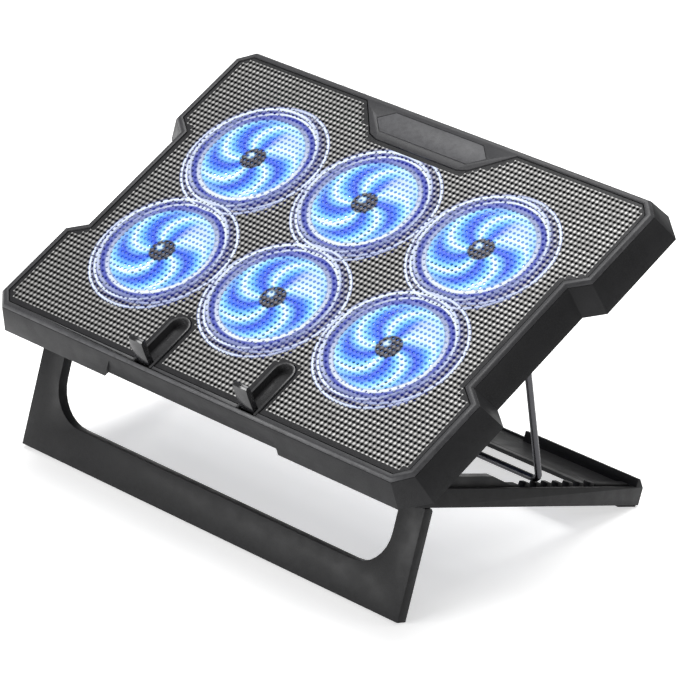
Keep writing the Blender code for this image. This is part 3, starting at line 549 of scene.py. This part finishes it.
def perforated_sheet(outline, bottom, top):
    """A sheet with a grid of round holes and a plain border out to the outline."""
    shell = bmesh.new()
    corners = {}

    def corner(column, row):
        """The vertex at the lower left corner of a cell."""
        key = (column, row)
        if key not in corners:
            x = (column - 0.5) * HOLE_PITCH[0]
            y = (row - 0.5) * HOLE_PITCH[1]
            corners[key] = shell.verts.new((x, y, top))
        return corners[key]

    cells = lattice_cells(outline)
    for column, row in sorted(cells):
        ring = [shell.verts.new((x, y, top)) for x, y in hole_ring(column, row)]
        around = (
            corner(column + 1, row + 1),
            corner(column, row + 1),
            corner(column, row),
            corner(column + 1, row),
        )
        for quarter, post in enumerate(around):
            first = ring[2 * quarter]
            second = ring[2 * quarter + 1]
            third = ring[(2 * quarter + 2) % HOLE_SIDES]
            shell.faces.new((post, second, first))
            shell.faces.new((post, around[(quarter + 1) % 4], third, second))
    rim = [shell.verts.new((*point, top)) for point in outline]
    rim_edges = [shell.edges.new((rim[index - 1], rim[index])) for index in range(len(rim))]
    steps = [
        edge
        for edge in shell.edges
        if len(edge.link_faces) == 1 and all(vertex in corner_set(corners) for vertex in edge.verts)
    ]
    before = set(shell.faces)
    bmesh.ops.triangle_fill(shell, edges=rim_edges + steps, use_beauty=True)
    for face in set(shell.faces) - before:
        face.material_index = 1
    bmesh.ops.recalc_face_normals(shell, faces=shell.faces)
    if sum(face.normal.z for face in shell.faces) < 0.0:
        bmesh.ops.reverse_faces(shell, faces=shell.faces)
    grown = bmesh.ops.extrude_face_region(shell, geom=list(shell.faces), use_keep_orig=True)
    lowered = [item for item in grown["geom"] if isinstance(item, bmesh.types.BMVert)]
    bmesh.ops.translate(shell, verts=lowered, vec=(0.0, 0.0, bottom - top))
    bmesh.ops.recalc_face_normals(shell, faces=shell.faces)
    for face in shell.faces:
        if face.normal.z < 0.5:
            face.material_index = 2
    return shell


def corner_set(corners):
    return set(corners.values())


def mesh_sheet(web, inner):
    node = frame["nodes"]["mesh_panel"]
    loops, top = top_loops(node, PAD)
    outline = straight_parts(max(loops, key=len))
    low = min((PAD.inverted() @ vertex.co).z for vertex in node.data.vertices)
    made = new_piece("mesh_sheet", perforated_sheet(outline, low, top), web, "pad", PAD)
    made.data.materials.append(moulded("mesh_border", (0.014, 0.014, 0.015), 0.40))
    made.data.materials.append(inner)
    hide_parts("mesh_panel")
    return made


def revolve(shell, profile, steps):
    """A closed solid from (radius, height) points that start and end on the axis."""
    rings = []
    for radius, height in profile:
        if radius == 0.0:
            rings.append([shell.verts.new((0.0, 0.0, height))])
            continue
        turns = [2.0 * math.pi * step / steps for step in range(steps)]
        rings.append([shell.verts.new((radius * math.cos(a), radius * math.sin(a), height)) for a in turns])
    for lower, upper in zip(rings, rings[1:]):
        for step in range(steps):
            after = (step + 1) % steps
            around = [lower[step % len(lower)], lower[after % len(lower)]]
            around += [upper[after % len(upper)], upper[step % len(upper)]]
            shell.faces.new(list(dict.fromkeys(around)))


def add_blade(shell, number):
    """A sickle blade that sweeps back as it goes out, thin at its edges, and tilted about its middle line."""
    sections = []
    for station in range(BLADE_STATIONS + 1):
        share = station / BLADE_STATIONS
        radius = BLADE_ROOT + (BLADE_TIP - BLADE_ROOT) * share
        middle = math.radians(360.0 / BLADES * number + BLADE_SWEEP * share ** 1.3)
        rise = BLADE_RISE - 0.0008 * share
        low, high = [], []
        for step in range(BLADE_CHORD_STEPS + 1):
            across = -1.0 + 2.0 * step / BLADE_CHORD_STEPS
            angle = middle + BLADE_HALF_CHORD * across
            height = BLADE_MIDDLE + rise * across + 0.0009 * (1.0 - across * across)
            half = BLADE_HALF_THICKNESS * (1.0 - 0.75 * across * across)
            x, y = radius * math.cos(angle), radius * math.sin(angle)
            low.append(shell.verts.new((x, y, height - half)))
            high.append(shell.verts.new((x, y, height + half)))
        sections.append(low + high[::-1])
    for inner, outer in zip(sections, sections[1:]):
        for index, vertex in enumerate(inner):
            after = (index + 1) % len(inner)
            shell.faces.new((vertex, inner[after], outer[after], outer[index]))
    shell.faces.new(sections[0])
    shell.faces.new(sections[-1])


def fan_rotors():
    """Rotors with curved blades and a domed hub cap with a groove, over the hollow for the stator."""
    number = 0
    for y in FAN_ROWS:
        for x in FAN_COLUMNS:
            number += 1
            shell = bmesh.new()
            revolve(shell, HUB_PROFILE, 48)
            for index in range(BLADES):
                add_blade(shell, index)
            bmesh.ops.recalc_face_normals(shell, faces=shell.faces)
            shell.transform(Matrix.Translation((x, y, 0.0)))
            for face in shell.faces:
                face.smooth = True
            name = f"fan_blades_{number}"
            material = bpy.data.materials["fan_blade_plastic"]
            made = new_piece(name, shell, material, f"fan_{number}", PAD)
            sharp = made.modifiers.new("sharp", "NODES")
            sharp.node_group = bpy.data.node_groups["smooth_by_angle"]
            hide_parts(f"fan_rotor_{number}")


# ---------------------------------------------------------------- finish on the CAD nodes

def smoothing_group():
    """Geometry nodes that smooth faces but keep edges over 35 degrees sharp."""
    group = bpy.data.node_groups.new("smooth_by_angle", "GeometryNodeTree")
    group.interface.new_socket("Geometry", in_out="INPUT", socket_type="NodeSocketGeometry")
    group.interface.new_socket("Geometry", in_out="OUTPUT", socket_type="NodeSocketGeometry")
    net = Net(group)
    entry = net.node("NodeGroupInput")
    plain = net.node("GeometryNodeRemoveAttribute", {0: entry.outputs[0], "Name": "custom_normal"})
    smooth = net.node("GeometryNodeSetShadeSmooth", {"Geometry": plain.outputs[0], "Shade Smooth": True})
    angle = net.node("GeometryNodeInputMeshEdgeAngle").outputs["Unsigned Angle"]
    sharp = net.node("FunctionNodeCompare", {0: angle, 1: math.radians(35.0)}, operation="GREATER_THAN")
    edges = net.node(
        "GeometryNodeSetShadeSmooth",
        {"Geometry": smooth.outputs[0], "Selection": sharp.outputs[0], "Shade Smooth": False},
        domain="EDGE",
    )
    net.node("NodeGroupOutput", {0: edges.outputs[0]})
    return group


def finish_node(node, material, smoothing, bevel):
    """Joins the faceted CAD mesh into clean faces, rounds its edges, and paints it."""
    node.data.materials.clear()
    node.data.materials.append(material)
    for polygon in node.data.polygons:
        polygon.material_index = 0
    weld = node.modifiers.new("weld", "WELD")
    weld.merge_threshold = 1e-6
    if bevel:
        flatten = node.modifiers.new("flatten", "DECIMATE")
        flatten.decimate_type = "DISSOLVE"
        flatten.angle_limit = math.radians(0.5)
        rounding = node.modifiers.new("rounding", "BEVEL")
        rounding.width = bevel
        rounding.segments = 2
        rounding.limit_method = "ANGLE"
        rounding.angle_limit = math.radians(38.0)
        rounding.miter_outer = "MITER_ARC"
    smooth = node.modifiers.new("smooth", "NODES")
    smooth.node_group = smoothing


def paint_nodes(group):
    smoothing = smoothing_group()
    housing = moulded("housing_plastic", (0.0150, 0.0150, 0.0158), 0.42)
    top = moulded("frame_plastic", (0.034, 0.034, 0.036), 0.38, shine=0.22)
    plate = moulded("plate_plastic", (0.060, 0.060, 0.063), 0.40, grain=0.0003)
    stop = moulded("stop_plastic", (0.010, 0.010, 0.011), 0.20, depth=0.00002, shine=0.5)
    pocket = moulded("pocket_plastic", (0.026, 0.026, 0.027), 0.30, shine=0.45)
    stand = moulded("stand_plastic", (0.0095, 0.0095, 0.0100), 0.44)
    steel = metal("steel", (0.55, 0.55, 0.57), 0.26, (1.0, 8.0, 8.0))
    wire = metal("wire_steel", (0.07, 0.07, 0.075), 0.24, (1.0, 6.0, 6.0))
    fan_frame = lit_plastic("fan_frame_plastic", group, (0.03, 0.04, 0.12), 0.50, 0.40, (0.25, 0.35, 1.0, 1.0))
    blades = lit_plastic("fan_blade_plastic", group, (0.03, 0.07, 0.30), 0.65, 0.62, (0.28, 0.52, 0.95, 1.0), True)
    looks = (
        ("lower_housing", housing, 0.0005),
        ("top_frame", top, 0.0004),
        ("badge_plate", plate, 0.0002),
        ("stop_pocket", pocket, 0.0004),
        ("stop_pin", steel, 0.0),
        ("stop", stop, 0.0006),
        ("fan_frame", fan_frame, 0.0003),
        ("fan_stator", coil(), 0.0002),
        ("fan_rotor", blades, 0.0),
        ("fan_shaft", steel, 0.0),
        ("control_board", circuit_board(), 0.0),
        ("usb_socket", steel, 0.0001),
        ("speed_dial", stop, 0.0),
        ("light_button", stop, 0.0002),
        ("housing_screw", steel, 0.0002),
        ("support_bail", wire, 0.0),
        ("bail_clip", housing, 0.0003),
        ("base_tray", stand, 0.0005),
        ("pad_hinge_pin", steel, 0.0),
        ("leg_hinge_pin", steel, 0.0),
        ("tray_foot", rubber(), 0.0003),
        ("leg_foot", bpy.data.materials["rubber"], 0.0003),
        ("front_leg", stand, 0.0006),
    )
    for name, node in frame["nodes"].items():
        found = next(((look, bevel) for start, look, bevel in looks if name.startswith(start)), None)
        if found:
            finish_node(node, found[0], smoothing, found[1])


# ---------------------------------------------------------------- stage

def floor():
    shell = bmesh.new()
    bmesh.ops.create_grid(shell, x_segments=8, y_segments=8, size=6.0)
    mesh = bpy.data.meshes.new("floor")
    shell.to_mesh(mesh)
    shell.free()
    made = bpy.data.objects.new("floor", mesh)
    bpy.context.scene.collection.objects.link(made)
    material, net, shader = new_material("floor_paper")
    tone = net.mix(net.noise(0.4, 2.0), (0.90, 0.90, 0.90, 1.0), (0.92, 0.92, 0.92, 1.0))
    net.feed(shader.inputs["Base Color"], tone)
    shader.inputs["Roughness"].default_value = 0.9
    net.feed(shader.inputs["Emission Color"], tone)
    shader.inputs["Emission Strength"].default_value = 0.55
    mesh.materials.append(material)


def area_light(name, place, target, size, power):
    data = bpy.data.lights.new(name, "AREA")
    data.shape = "RECTANGLE"
    data.size, data.size_y = size
    data.energy = power
    made = bpy.data.objects.new(name, data)
    bpy.context.scene.collection.objects.link(made)
    made.location = place
    made.rotation_mode = "QUATERNION"
    made.rotation_quaternion = (Vector(target) - Vector(place)).to_track_quat("-Z", "Y")


def studio():
    world = bpy.data.worlds.new("studio")
    world.use_nodes = True
    world.node_tree.nodes["Background"].inputs[0].default_value = (1.0, 1.0, 1.0, 1.0)
    world.node_tree.nodes["Background"].inputs[1].default_value = 0.30
    bpy.context.scene.world = world
    middle = (0.0, 0.0, 0.1)
    area_light("overhead", (-0.3, 0.5, 1.9), middle, (1.6, 1.2), 44.0)
    area_light("front", (-0.6, -2.1, 0.50), middle, (1.2, 0.8), 42.0)
    area_light("rear_right", (1.5, 1.1, 1.2), middle, (0.8, 0.8), 4.0)


def camera():
    data = bpy.data.cameras.new("camera")
    data.lens = CAMERA_LENS
    data.sensor_width = 36.0
    data.clip_end = 50.0
    made = bpy.data.objects.new("camera", data)
    bpy.context.scene.collection.objects.link(made)
    made.location = CAMERA_PLACE
    made.rotation_euler = [math.radians(angle) for angle in CAMERA_TURN]
    bpy.context.scene.camera = made


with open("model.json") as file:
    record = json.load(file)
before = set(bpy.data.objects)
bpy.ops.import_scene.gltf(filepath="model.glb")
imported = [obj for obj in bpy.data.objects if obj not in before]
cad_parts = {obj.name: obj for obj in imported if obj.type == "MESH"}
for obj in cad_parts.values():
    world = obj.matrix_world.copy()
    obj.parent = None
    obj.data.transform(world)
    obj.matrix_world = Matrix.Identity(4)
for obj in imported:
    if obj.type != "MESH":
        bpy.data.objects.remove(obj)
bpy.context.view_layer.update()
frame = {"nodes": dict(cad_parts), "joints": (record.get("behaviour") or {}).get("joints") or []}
PAD = pad_frame()

glow = glow_group()
paint_nodes(glow)
mesh_sheet(mesh_web(glow), mesh_inner(glow))
fan_rotors()
floor()
studio()
camera()
bpy.context.scene.view_settings.view_transform = "Standard"
